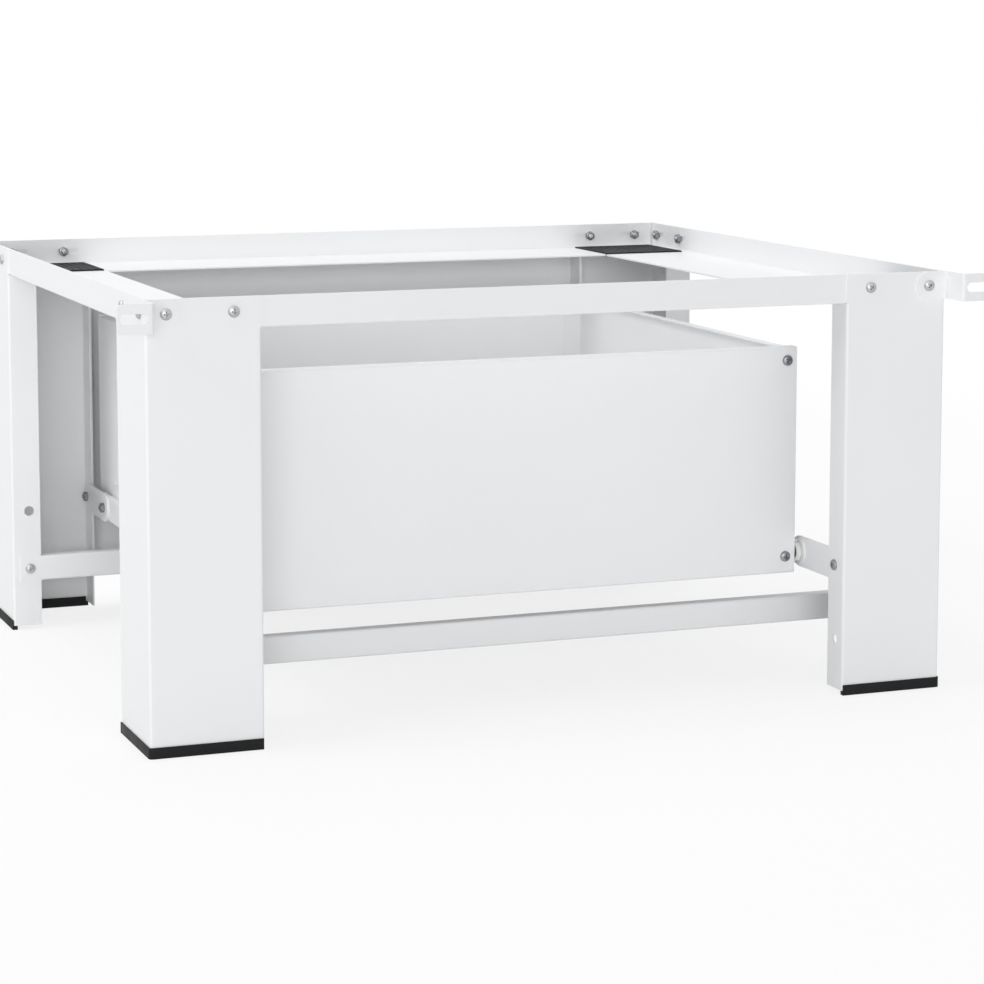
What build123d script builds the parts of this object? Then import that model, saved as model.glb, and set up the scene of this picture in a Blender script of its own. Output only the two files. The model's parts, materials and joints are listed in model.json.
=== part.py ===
from build123d import *
import os

# Laundry pedestal: a folded-steel stand for a washing machine, with a drawer on roller runners.
# Millimetres. X to the right, Y to the back, Z up. The floor is at Z = 0.

# Body, without the strap brackets
BODY_WIDTH = 600.0
BODY_DEPTH = 520.0
BODY_HEIGHT = 310.0

# Sheet thicknesses and the inside radius of every fold
FRAME_SHEET = 1.2
PLATE_SHEET = 1.5
DRAWER_SHEET = 1.0
PANEL_SHEET = 0.8
FOLD_RADIUS = 0.8

# Legs: an angle with a return flange along each free edge
LEG_FACE = 80.0
LEG_RETURN = 23.0
SPARE_HOLE_RADIUS = 4.0
SPARE_HOLE_HEIGHT = 97.0

# Foot caps: a groove that wraps the lower edge of the leg
CAP_FLOOR = 3.5
CAP_HEIGHT = 7.8
CAP_OUTER_WALL = 1.0
CAP_INNER_WALL = 2.0
CAP_FIT = 0.05
CAP_END_GAP = 0.7
CAP_FLANGE_GAP = 1.3

# Top rails: an upstand bolted inside the leg faces, and a wide ledge for the appliance
RAIL_UPSTAND = 21.3
RAIL_BOLT_DROP = 10.0
RAIL_BOLT_INSETS = (14.0, 61.0)
REAR_BOLT_INSETS = (20.0, 63.0)
RAIL_SLOT_LENGTH = 18.0
RAIL_SLOT_SHIFT = 4.0
RAIL_CORNER_GAP = 1.2

# Anti-slip pads on the ledge corners
PAD_SIZE = 71.0
PAD_THICKNESS = 1.2
PAD_EDGE_GAP = 1.0
PAD_BORDER = 4.0
PAD_GROOVE_WIDTH = 2.4
PAD_GROOVE_PITCH = 6.0
PAD_GROOVE_DEPTH = 0.4

# Strap brackets: stepped forward from the front corners, each with a slotted tab
BRACKET_HEIGHT = 20.0
BRACKET_REACH = 26.0
BRACKET_TAB = 25.0
BRACKET_CORNER = 3.0
STRAP_SLOT_LENGTH = 19.5
STRAP_SLOT_WIDTH = 7.0

# Lower cross bars: a channel with flat lapped ends
BAR_HEIGHT = 20.0
BAR_DEPTH = 10.0
BAR_CENTRE_HEIGHT = 50.0
BAR_END_INSET = 6.0
BAR_BOLT_INSET = 14.0
BAR_NOTCH_GAP = 1.0

# Rear panel: a shallow tray between the rear legs
PANEL_INSET = 0.8
PANEL_RETURN = 22.0
PANEL_TOP_FOLD = 15.0
PANEL_BOTTOM = 30.0
PANEL_CORNER_GAP = 4.0
PANEL_BOLT_HEIGHT = 40.0
PANEL_BOLT_INSET = 12.0
PANEL_HOLE_RADIUS = 3.5

# Drawer runners: links, cabinet runners and drawer runners
RUNNER_HEIGHT = 21.0
RUNNER_CENTRE_HEIGHT = 95.0
LINK_HEIGHT = 23.0
LINK_LEG_INSET = 14.0
LINK_RUNNER_INSET = 73.0
RUNNER_SHEET = 1.2
RUNNER_END_MARGIN = 12.0
RUNNER_SIDE_GAP = 0.6
RUNNER_RIVET_COUNT = 3
RUNNER_WEB = 14.0
DRAWER_RUNNER_FRONT_GAP = 1.5
DRAWER_ROLLER_SETBACK = 19.0
DRAWER_RUNNER_TAIL = 12.0

# Rollers
ROLLER_RADIUS = 7.4
ROLLER_WIDTH = 3.4
ROLLER_CHAMFER = 0.5
ROLLER_RECESS_RADIUS = 5.0
ROLLER_RECESS_DEPTH = 1.1
ROLLER_SIDE_GAP = 0.3
ROLLER_TRACK_GAP = 0.3
AXLE_FIT = 0.05
AXLE_HEAD_RADIUS = 4.4
AXLE_HEAD = 0.9

# Drawer: its place between the legs, behind their faces and below the runners' centre line
DRAWER_SIDE_GAP = 4.2
DRAWER_FRONT_SETBACK = 70.0
DRAWER_REAR_GAP = 34.0
DRAWER_DROP = 15.5
DRAWER_HEIGHT = 170.8
DRAWER_FOLD = 10.0
WALL_TOP_FOLD = 8.0
WALL_BOTTOM_FOLD = 14.0
WALL_TAB = 16.0
WALL_TAB_GAP = 3.0
WALL_END_GAP = 2.0
WALL_FIT = 0.2
BOTTOM_FIT = 0.4
DRAWER_SCREW_SIDE_INSET = 8.0
DRAWER_SCREW_TOP_INSET = 10.0
DRAWER_SCREW_BOTTOM_INSET = 12.8
BOTTOM_RIVET_COUNT = 3
BOTTOM_RIVET_INSET = 7.0
RIVET_END_INSET = 50.0

# Fasteners
BOLT_RADIUS = 2.0
BOLT_CLEARANCE = 0.25
BOLT_HEAD_RADIUS = 4.0
BOLT_HEAD_HEIGHT = 2.4
BOLT_HEAD_CROWN = 1.2
BOLT_TIP = 1.0
NUT_ACROSS_FLATS = 7.0
NUT_HEIGHT = 3.2
NUT_FIT = 0.05
RIVET_RADIUS = 2.0
RIVET_HEAD_RADIUS = 3.5
RIVET_HEAD = 0.8
RIVET_CLEARANCE = 0.2

# A hole cutter's length, in thicknesses of the sheet it goes through
CUTTER_SHEETS = 6

# Derived places
HALF_X = BODY_WIDTH / 2
HALF_Y = BODY_DEPTH / 2
BOLT_HOLE = BOLT_RADIUS + BOLT_CLEARANCE
LEDGE_BOTTOM = BODY_HEIGHT - RAIL_UPSTAND
LEDGE_TOP = LEDGE_BOTTOM + FRAME_SHEET
RAIL_BOLT_HEIGHT = BODY_HEIGHT - RAIL_BOLT_DROP
RAIL_OUTER_X = HALF_X - FRAME_SHEET
RAIL_OUTER_Y = HALF_Y - FRAME_SHEET
LEG_INNER_X = HALF_X - LEG_FACE
LEG_INNER_Y = HALF_Y - LEG_FACE
LEG_EDGE_RADIUS = FOLD_RADIUS + FRAME_SHEET
BAR_SEATS = {"front": -LEG_INNER_Y - FRAME_SHEET, "rear": LEG_INNER_Y}
END_BOLT_INSETS = {-1: RAIL_BOLT_INSETS, 1: REAR_BOLT_INSETS}

BRACKET_BOLT_X = HALF_X - RAIL_BOLT_INSETS[0]
BRACKET_SLOT_X = HALF_X + (PLATE_SHEET + BRACKET_TAB) / 2
BRACKET_TAB_Y = HALF_Y + BRACKET_REACH

LINK_X = LEG_INNER_X + FRAME_SHEET
LINK_LEG_Y = HALF_Y - LINK_LEG_INSET
LINK_RUNNER_Y = HALF_Y - LINK_RUNNER_INSET
RUNNER_INNER_X = LINK_X - RUNNER_SHEET
RUNNER_BOTTOM = RUNNER_CENTRE_HEIGHT - RUNNER_HEIGHT / 2
RUNNER_TOP = RUNNER_BOTTOM + RUNNER_HEIGHT

DRAWER_HALF_X = LEG_INNER_X - DRAWER_SIDE_GAP
DRAWER_FRONT_Y = -HALF_Y + DRAWER_FRONT_SETBACK
DRAWER_BACK_Y = HALF_Y - DRAWER_REAR_GAP
DRAWER_BOTTOM = RUNNER_CENTRE_HEIGHT - DRAWER_DROP
DRAWER_TOP = DRAWER_BOTTOM + DRAWER_HEIGHT
WALL_BOTTOM = DRAWER_BOTTOM + DRAWER_SHEET + WALL_FIT
WALL_TOP = DRAWER_TOP - DRAWER_SHEET - WALL_FIT
WALL_FRONT_Y = DRAWER_FRONT_Y + DRAWER_SHEET
WALL_BACK_Y = DRAWER_BACK_Y - DRAWER_SHEET
DRAWER_MEMBER_X = DRAWER_HALF_X + RUNNER_SHEET
DRAWER_SCREW_X = DRAWER_HALF_X - DRAWER_SCREW_SIDE_INSET
DRAWER_SCREW_HEIGHTS = (DRAWER_BOTTOM + DRAWER_SCREW_BOTTOM_INSET, DRAWER_TOP - DRAWER_SCREW_TOP_INSET)
RUNNER_TOP_LIP_X = DRAWER_MEMBER_X + RUNNER_SIDE_GAP
RUNNER_BOTTOM_LIP_X = DRAWER_HALF_X + RUNNER_SIDE_GAP

CABINET_ROLLER_Y = -LINK_RUNNER_Y
TRACK_BOTTOM = RUNNER_CENTRE_HEIGHT + ROLLER_RADIUS + ROLLER_TRACK_GAP
DRAWER_ROLLER_Y = LINK_RUNNER_Y - DRAWER_ROLLER_SETBACK
DRAWER_ROLLER_X = DRAWER_HALF_X + ROLLER_SIDE_GAP
DRAWER_ROLLER_HEIGHT = RUNNER_BOTTOM + RUNNER_SHEET + ROLLER_TRACK_GAP + ROLLER_RADIUS
AXLE_SEAT = ROLLER_WIDTH - ROLLER_RECESS_DEPTH + AXLE_FIT

# The origin is under the middle of the whole outline, brackets and bolt heads included
FRONT_REACH = HALF_Y + BRACKET_REACH
REAR_REACH = HALF_Y + BOLT_HEAD_HEIGHT
ORIGIN_SHIFT = (FRONT_REACH - REAR_REACH) / 2

CORNERS = {
    "front_left": (-1, -1),
    "front_right": (1, -1),
    "rear_left": (-1, 1),
    "rear_right": (1, 1),
}
SIDES = {"left": -1, "right": 1}

parts = {}


# Shared shapes

def to_corner(shape, side_x, side_y):
    """Mirror a piece drawn at the rear right corner to another corner."""
    if side_x < 0:
        shape = mirror(shape, about=Plane.YZ)
    if side_y < 0:
        shape = mirror(shape, about=Plane.XZ)
    return shape


def parallel(points, distance):
    """Points of the path that runs beside the given one, on its right."""
    vectors = [Vector(x, y) for x, y in points]
    headings = [(end - start).normalized() for start, end in zip(vectors, vectors[1:])]
    normals = [Vector(heading.Y, -heading.X) for heading in headings]
    befores = [normals[0]] + normals
    afters = normals + [normals[-1]]
    moved = []
    for point, before, after in zip(vectors, befores, afters):
        step = (before + after) * (distance / (1 + before.dot(after)))
        moved.append((point.X + step.X, point.Y + step.Y))
    return moved


def right_turns(points):
    """True for each corner of a path where it turns to the right."""
    turns = []
    for before, here, after in zip(points, points[1:], points[2:]):
        first = Vector(*here) - Vector(*before)
        second = Vector(*after) - Vector(*here)
        turns.append(first.cross(second).Z < 0)
    return turns


def band(points, width, outer_radius, inner_radius):
    """Flat strip between a path and its parallel, with rounded corners."""
    turns = right_turns(points)
    near_radii = [outer_radius if turn else inner_radius for turn in turns]
    far_radii = [inner_radius if turn else outer_radius for turn in turns]
    near = FilletPolyline(*points, radius=near_radii)
    far = FilletPolyline(*parallel(points, width), radius=far_radii)
    ends = [Line(near @ 0, far @ 0), Line(near @ 1, far @ 1)]
    return make_face(near.edges() + far.edges() + ends)


def folded(points, thickness):
    """Section of a folded sheet; the path is one of its faces and the sheet is on its right."""
    return band(points, thickness, FOLD_RADIUS + thickness, FOLD_RADIUS)


def upright(section, bottom, top):
    """Section drawn in X and Y, raised from bottom to top."""
    return extrude(Pos(0, 0, bottom) * section, amount=top - bottom)


def along_x(section, half_length):
    """Section drawn in Y and Z, run both ways along X."""
    return extrude(Plane.YZ * section, amount=half_length, both=True)


def along_y(section, start, end):
    """Section drawn in X and Z, run along Y."""
    return extrude(Plane.XZ.offset(-start) * section, amount=start - end)


def block(low, high):
    """Box between two opposite corners."""
    sizes = [b - a for a, b in zip(low, high)]
    return Pos(*low) * Box(*sizes, align=Align.MIN)


def drill(point, direction, radius, reach=LEG_RETURN):
    """Round cutter through a sheet at a point."""
    return Plane(point, z_dir=direction) * Cylinder(radius, reach)


def slot_cutter(point, direction, length, width, reach=LEG_RETURN):
    """Cutter for a level slot in an upright sheet."""
    level = (0, 1, 0) if direction[0] else (1, 0, 0)
    outline = Plane(point, x_dir=level, z_dir=direction) * SlotOverall(length, width)
    return extrude(outline, amount=reach / 2, both=True)


def bolt(point, outward, grip, tail):
    """Pan-head bolt: its head seats at the point and looks outward."""
    length = grip + tail
    crown_edge = BOLT_HEAD_RADIUS - BOLT_HEAD_CROWN
    outline = Polyline(
        (0, -length),
        (BOLT_RADIUS, -length),
        (BOLT_RADIUS, 0),
        (BOLT_HEAD_RADIUS, 0),
        (BOLT_HEAD_RADIUS, BOLT_HEAD_HEIGHT - BOLT_HEAD_CROWN),
        (crown_edge, BOLT_HEAD_HEIGHT),
        (0, BOLT_HEAD_HEIGHT),
        close=True,
    )
    turned = revolve(Plane.XZ * make_face(outline), axis=Axis.Z)
    return Plane(point, z_dir=outward) * turned


def nut(point, outward):
    """Hexagon nut that seats at the point and stands outward."""
    outline = RegularPolygon(NUT_ACROSS_FLATS / 2, 6, major_radius=False)
    outline -= Circle(BOLT_RADIUS + NUT_FIT)
    return Plane(point, z_dir=outward) * extrude(outline, amount=NUT_HEIGHT)


def rivet(point, outward, grip):
    """Flat rivet: one head seats at the point, the other closes the grip behind it."""
    shank = Pos(0, 0, -grip / 2) * Cylinder(RIVET_RADIUS, grip)
    heads = Pos(0, 0, RIVET_HEAD / 2) * Cylinder(RIVET_HEAD_RADIUS, RIVET_HEAD)
    heads += Pos(0, 0, -grip - RIVET_HEAD / 2) * Cylinder(RIVET_HEAD_RADIUS, RIVET_HEAD)
    return Plane(point, z_dir=outward) * (shank + heads)


def moved_along(point, direction, distance):
    """Point moved along a direction."""
    return tuple(p + d * distance for p, d in zip(point, direction))


def opposite(direction):
    return tuple(-d for d in direction)


def spread(low, high, count):
    """Even positions from low to high."""
    step = (high - low) / (count - 1)
    return [low + step * index for index in range(count)]


# Legs

def rail_bolt_points(end_insets):
    """Where the rail bolts cross a leg's outer faces, each with its outward direction."""
    points = [((HALF_X - inset, HALF_Y, RAIL_BOLT_HEIGHT), (0, 1, 0)) for inset in end_insets]
    points += [((HALF_X, HALF_Y - inset, RAIL_BOLT_HEIGHT), (1, 0, 0)) for inset in RAIL_BOLT_INSETS]
    return points


def leg(end_insets):
    face_path = [(LEG_INNER_X, HALF_Y), (HALF_X, HALF_Y), (HALF_X, LEG_INNER_Y)]
    path = [(LEG_INNER_X, HALF_Y - LEG_RETURN)]
    path += face_path
    path += [(HALF_X - LEG_RETURN, LEG_INNER_Y)]
    shape = upright(folded(path, FRAME_SHEET), CAP_FLOOR, LEDGE_BOTTOM)
    shape += upright(folded(face_path, FRAME_SHEET), LEDGE_BOTTOM, BODY_HEIGHT)
    for point, outward in rail_bolt_points(end_insets):
        shape -= drill(point, outward, BOLT_HOLE)
    link_hole = (LEG_INNER_X, LINK_LEG_Y, RUNNER_CENTRE_HEIGHT)
    panel_hole = (LEG_INNER_X, HALF_Y - PANEL_BOLT_INSET, PANEL_BOLT_HEIGHT)
    bar_hole = (HALF_X - BAR_BOLT_INSET, LEG_INNER_Y, BAR_CENTRE_HEIGHT)
    spare_hole = (HALF_X - BAR_BOLT_INSET, LEG_INNER_Y, SPARE_HOLE_HEIGHT)
    shape -= drill(link_hole, (1, 0, 0), BOLT_HOLE)
    shape -= drill(panel_hole, (1, 0, 0), PANEL_HOLE_RADIUS)
    shape -= drill(bar_hole, (0, 1, 0), BOLT_HOLE)
    shape -= drill(spare_hole, (0, 1, 0), SPARE_HOLE_RADIUS)
    return shape


def cap_path(end_gap):
    """Leg faces that a cap follows, up to a gap from their free edges."""
    return [(LEG_INNER_X + end_gap, HALF_Y), (HALF_X, HALF_Y), (HALF_X, LEG_INNER_Y + end_gap)]


def foot_cap():
    outside = parallel(cap_path(CAP_END_GAP), -CAP_OUTER_WALL)
    outer_radius = LEG_EDGE_RADIUS + CAP_OUTER_WALL
    floor = band(outside, CAP_OUTER_WALL + FRAME_SHEET + CAP_INNER_WALL, outer_radius, 0)
    outer_lip = band(outside, CAP_OUTER_WALL - CAP_FIT, outer_radius, LEG_EDGE_RADIUS + CAP_FIT)
    inside = parallel(cap_path(FRAME_SHEET + CAP_FLANGE_GAP), FRAME_SHEET + CAP_FIT)
    inner_lip = band(inside, CAP_INNER_WALL - CAP_FIT, FOLD_RADIUS - CAP_FIT, 0)
    shape = upright(floor, 0, CAP_FLOOR)
    shape += upright(outer_lip, CAP_FLOOR, CAP_HEIGHT)
    shape += upright(inner_lip, CAP_FLOOR, CAP_HEIGHT)
    return shape


# Top rails

def rail_section(outer, inner):
    """Angle section: upstand, fold and ledge, drawn across the rail."""
    return folded([(outer, BODY_HEIGHT), (outer, LEDGE_BOTTOM), (inner, LEDGE_BOTTOM)], FRAME_SHEET)


def mitre_cutter(along, across):
    """Prism that leaves a mitred end on a rail; along and across are its outer corner."""
    run = LEG_FACE
    tip = along - RAIL_CORNER_GAP
    corners = [(tip, across), (tip - run, across - run), (along, across - run), (along, across)]
    return make_face(Polyline(*corners, close=True))


def end_rail(end_insets):
    """Rear rail, or the front rail before it is mirrored."""
    shape = along_x(rail_section(RAIL_OUTER_Y, LEG_INNER_Y), RAIL_OUTER_X)
    cutter = upright(mitre_cutter(RAIL_OUTER_X, RAIL_OUTER_Y), 0, BODY_HEIGHT)
    shape -= cutter
    shape -= mirror(cutter, about=Plane.YZ)
    for side in SIDES.values():
        for inset in end_insets:
            centre = (side * (HALF_X - inset - RAIL_SLOT_SHIFT), RAIL_OUTER_Y, RAIL_BOLT_HEIGHT)
            shape -= slot_cutter(centre, (0, 1, 0), RAIL_SLOT_LENGTH, 2 * BOLT_HOLE)
    return shape


def right_rail():
    shape = along_y(rail_section(RAIL_OUTER_X, LEG_INNER_X), -RAIL_OUTER_Y, RAIL_OUTER_Y)
    outline = mirror(mitre_cutter(RAIL_OUTER_Y, RAIL_OUTER_X), about=Plane.YZ)
    cutter = upright(Rot(0, 0, -90) * outline, 0, BODY_HEIGHT)
    shape -= cutter
    shape -= mirror(cutter, about=Plane.XZ)
    for side in SIDES.values():
        for inset in RAIL_BOLT_INSETS:
            centre = (RAIL_OUTER_X, side * (HALF_Y - inset - RAIL_SLOT_SHIFT), RAIL_BOLT_HEIGHT)
            shape -= slot_cutter(centre, (1, 0, 0), RAIL_SLOT_LENGTH, 2 * BOLT_HOLE)
    return shape


def anti_slip_pad():
    low_x = LEG_INNER_X + PAD_EDGE_GAP
    low_y = LEG_INNER_Y + PAD_EDGE_GAP
    top = LEDGE_TOP + PAD_THICKNESS
    shape = block((low_x, low_y, LEDGE_TOP), (low_x + PAD_SIZE, low_y + PAD_SIZE, top))
    groove_start = low_x + PAD_BORDER
    groove_room = PAD_SIZE - 2 * PAD_BORDER
    count = int((groove_room - PAD_GROOVE_WIDTH) // PAD_GROOVE_PITCH) + 1
    for index in range(count):
        x = groove_start + index * PAD_GROOVE_PITCH
        low = (x, low_y + PAD_BORDER, top - PAD_GROOVE_DEPTH)
        high = (x + PAD_GROOVE_WIDTH, low_y + PAD_SIZE - PAD_BORDER, top)
        shape -= block(low, high)
    return shape


# Strap brackets

def strap_bracket():
    """Stepped plate, drawn against the rear face and mirrored to the front."""
    low = RAIL_BOLT_HEIGHT - BRACKET_HEIGHT / 2
    step_x = HALF_X + PLATE_SHEET
    back_y = BRACKET_TAB_Y - PLATE_SHEET
    path = [(HALF_X + BRACKET_TAB, back_y), (step_x, back_y), (step_x, HALF_Y), (BRACKET_BOLT_X, HALF_Y)]
    shape = upright(folded(path, PLATE_SHEET), low, low + BRACKET_HEIGHT)
    tab_corners = shape.edges().filter_by(Axis.Y).group_by(Axis.X)[-1]
    shape = fillet(tab_corners, BRACKET_CORNER)
    bolt_point = (BRACKET_BOLT_X, HALF_Y, RAIL_BOLT_HEIGHT)
    shape += extrude(Plane(bolt_point, z_dir=(0, 1, 0)) * Circle(BRACKET_HEIGHT / 2), amount=PLATE_SHEET)
    shape -= drill(bolt_point, (0, 1, 0), BOLT_HOLE)
    slot_point = (BRACKET_SLOT_X, BRACKET_TAB_Y, RAIL_BOLT_HEIGHT)
    return shape - slot_cutter(slot_point, (0, 1, 0), STRAP_SLOT_LENGTH, STRAP_SLOT_WIDTH)


# Lower bars

def lower_bar(seat_y):
    """Channel whose web laps the front of the leg flanges at seat_y."""
    face_y = seat_y - FRAME_SHEET
    low = BAR_CENTRE_HEIGHT - BAR_HEIGHT / 2
    high = low + BAR_HEIGHT
    end_y = face_y + BAR_DEPTH
    section = folded([(end_y, low), (face_y, low), (face_y, high), (end_y, high)], FRAME_SHEET)
    channel_end = HALF_X - LEG_RETURN - BAR_NOTCH_GAP
    bar_end = HALF_X - BAR_END_INSET
    shape = along_x(section, channel_end)
    for side in SIDES.values():
        tab = block((channel_end - BAR_DEPTH, face_y, low), (bar_end, seat_y, high))
        tab -= block((channel_end - BAR_DEPTH, face_y, low), (channel_end, seat_y, low + LEG_EDGE_RADIUS))
        tab -= block((channel_end - BAR_DEPTH, face_y, high - LEG_EDGE_RADIUS), (channel_end, seat_y, high))
        shape += tab if side > 0 else mirror(tab, about=Plane.YZ)
        hole = (side * (HALF_X - BAR_BOLT_INSET), seat_y, BAR_CENTRE_HEIGHT)
        shape -= drill(hole, (0, 1, 0), BOLT_HOLE)
    return shape


# Rear panel

def rear_panel():
    back_y = HALF_Y - PANEL_INSET
    front_y = back_y - PANEL_RETURN
    x = LEG_INNER_X
    tray = folded([(-x, front_y), (-x, back_y), (x, back_y), (x, front_y)], PANEL_SHEET)
    shape = upright(tray, PANEL_BOTTOM, LEDGE_BOTTOM - PANEL_CORNER_GAP)
    lip_bottom = LEDGE_BOTTOM - PANEL_CORNER_GAP - PANEL_SHEET
    lip_path = [(back_y - PANEL_TOP_FOLD, LEDGE_BOTTOM), (back_y, LEDGE_BOTTOM), (back_y, lip_bottom)]
    shape += along_x(folded(lip_path, PANEL_SHEET), x - PANEL_CORNER_GAP)
    for side in SIDES.values():
        panel_hole = (side * x, HALF_Y - PANEL_BOLT_INSET, PANEL_BOLT_HEIGHT)
        link_hole = (side * x, LINK_LEG_Y, RUNNER_CENTRE_HEIGHT)
        shape -= drill(panel_hole, (1, 0, 0), BOLT_HOLE)
        shape -= drill(link_hole, (1, 0, 0), BOLT_HOLE)
    return shape


# Runners, drawn on the right

def runner_link():
    middle_y = (LINK_LEG_Y + LINK_RUNNER_Y) / 2
    plane = Plane((LINK_X, middle_y, RUNNER_CENTRE_HEIGHT), x_dir=(0, 1, 0), z_dir=(1, 0, 0))
    span = LINK_LEG_Y - LINK_RUNNER_Y
    outline = SlotOverall(span + LINK_HEIGHT, LINK_HEIGHT)
    for place in (-span / 2, span / 2):
        outline -= Pos(place, 0) * Circle(BOLT_HOLE)
    return extrude(plane * outline, amount=PLATE_SHEET)


def cabinet_runner():
    path = [
        (RUNNER_TOP_LIP_X, RUNNER_TOP),
        (LINK_X, RUNNER_TOP),
        (LINK_X, RUNNER_BOTTOM),
        (RUNNER_BOTTOM_LIP_X, RUNNER_BOTTOM),
    ]
    channel_front = CABINET_ROLLER_Y + ROLLER_RADIUS + RUNNER_SIDE_GAP
    shape = along_y(folded(path, RUNNER_SHEET), channel_front, LINK_RUNNER_Y + RUNNER_END_MARGIN)
    axle = (RUNNER_INNER_X, CABINET_ROLLER_Y, RUNNER_CENTRE_HEIGHT)
    nose = Plane(axle, x_dir=(0, 1, 0), z_dir=(1, 0, 0)) * Circle(RUNNER_HEIGHT / 2)
    shape += extrude(nose, amount=RUNNER_SHEET)
    cheek_high = RUNNER_TOP - RUNNER_SHEET - FOLD_RADIUS
    cheek_low = RUNNER_BOTTOM + RUNNER_SHEET + FOLD_RADIUS
    cheek_end = channel_front + RUNNER_SHEET
    shape += block((RUNNER_INNER_X, CABINET_ROLLER_Y, cheek_low), (LINK_X, cheek_end, cheek_high))
    for y in (CABINET_ROLLER_Y, LINK_RUNNER_Y):
        hole = (RUNNER_INNER_X, y, RUNNER_CENTRE_HEIGHT)
        shape -= drill(hole, (1, 0, 0), BOLT_HOLE, RUNNER_SHEET * CUTTER_SHEETS)
    return shape


def roller():
    """Nylon roller on its axis, standing from Z = 0, with a recess for the axle head at the top."""
    outline = Polyline(
        (BOLT_RADIUS + AXLE_FIT, 0),
        (ROLLER_RADIUS - ROLLER_CHAMFER, 0),
        (ROLLER_RADIUS, ROLLER_CHAMFER),
        (ROLLER_RADIUS, ROLLER_WIDTH - ROLLER_CHAMFER),
        (ROLLER_RADIUS - ROLLER_CHAMFER, ROLLER_WIDTH),
        (ROLLER_RECESS_RADIUS, ROLLER_WIDTH),
        (ROLLER_RECESS_RADIUS, ROLLER_WIDTH - ROLLER_RECESS_DEPTH),
        (BOLT_RADIUS + AXLE_FIT, ROLLER_WIDTH - ROLLER_RECESS_DEPTH),
        close=True,
    )
    return revolve(Plane.XZ * make_face(outline), axis=Axis.Z)


def axle(grip):
    """Flat-headed axle along Z; its head seats at the bottom of the roller's recess."""
    shank = Pos(0, 0, AXLE_SEAT - grip / 2) * Cylinder(BOLT_RADIUS, grip)
    return shank + Pos(0, 0, AXLE_SEAT + AXLE_HEAD / 2) * Cylinder(AXLE_HEAD_RADIUS, AXLE_HEAD)


CABINET_ROLLER_PLANE = Plane(
    (RUNNER_INNER_X - ROLLER_SIDE_GAP, CABINET_ROLLER_Y, RUNNER_CENTRE_HEIGHT), z_dir=(-1, 0, 0)
)
DRAWER_ROLLER_PLANE = Plane((DRAWER_ROLLER_X, DRAWER_ROLLER_Y, DRAWER_ROLLER_HEIGHT), z_dir=(1, 0, 0))


def cabinet_axle():
    """Shoulder bolt through the roller, the runner's cheek and the link."""
    grip = AXLE_SEAT + ROLLER_SIDE_GAP + RUNNER_SHEET + PLATE_SHEET + NUT_HEIGHT + BOLT_TIP
    return CABINET_ROLLER_PLANE * axle(grip)


def drawer_pin():
    """Headed pin through the roller and the drawer wall."""
    grip = AXLE_SEAT + ROLLER_SIDE_GAP + DRAWER_SHEET + RIVET_HEAD
    tail = AXLE_SEAT - grip + RIVET_HEAD / 2
    shape = axle(grip) + Pos(0, 0, tail) * Cylinder(AXLE_HEAD_RADIUS, RIVET_HEAD)
    return DRAWER_ROLLER_PLANE * shape


def runner_rivet_points():
    """Rivets that hold the right drawer runner to its wall."""
    height = TRACK_BOTTOM + (RUNNER_WEB + LEG_EDGE_RADIUS) / 2
    low_y = WALL_FRONT_Y + RIVET_END_INSET
    high_y = DRAWER_ROLLER_Y - RIVET_END_INSET
    return [(DRAWER_MEMBER_X, y, height) for y in spread(low_y, high_y, RUNNER_RIVET_COUNT)]


def drawer_runner():
    """Angle on the drawer wall; its level track rides on the cabinet roller."""
    track_x = RUNNER_INNER_X - RUNNER_SIDE_GAP
    web_top = TRACK_BOTTOM + RUNNER_WEB
    path = [(track_x, TRACK_BOTTOM), (DRAWER_HALF_X, TRACK_BOTTOM), (DRAWER_HALF_X, web_top)]
    front_y = WALL_FRONT_Y + DRAWER_RUNNER_FRONT_GAP
    shape = along_y(folded(path, RUNNER_SHEET), front_y, DRAWER_ROLLER_Y + DRAWER_RUNNER_TAIL)
    for point in runner_rivet_points():
        shape -= drill(point, (1, 0, 0), RIVET_RADIUS + RIVET_CLEARANCE, RUNNER_SHEET * CUTTER_SHEETS)
    return shape


# Drawer

def drawer_screw_points(face_y):
    """Where the corner screws cross the drawer's front or back."""
    return [(side * DRAWER_SCREW_X, face_y, z) for side in SIDES.values() for z in DRAWER_SCREW_HEIGHTS]


def drawer_end(face_y, inward):
    """Front or back of the drawer: a plain sheet with its top and bottom edges folded inward."""
    fold_y = face_y + inward * DRAWER_FOLD
    path = [(fold_y, DRAWER_BOTTOM), (face_y, DRAWER_BOTTOM), (face_y, DRAWER_TOP), (fold_y, DRAWER_TOP)]
    if inward < 0:
        path.reverse()
    shape = along_x(folded(path, DRAWER_SHEET), DRAWER_HALF_X)
    for point in drawer_screw_points(face_y):
        shape -= drill(point, (0, 1, 0), BOLT_HOLE, DRAWER_FOLD)
    return shape


def bottom_rivet_points():
    """Rivets that hold the drawer bottom to the right wall's lower fold."""
    x = DRAWER_HALF_X - BOTTOM_RIVET_INSET
    height = WALL_BOTTOM + 2 * DRAWER_SHEET
    low_y = WALL_FRONT_Y + RIVET_END_INSET
    high_y = WALL_BACK_Y - RIVET_END_INSET
    return [(x, y, height) for y in spread(low_y, high_y, BOTTOM_RIVET_COUNT)]


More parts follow.
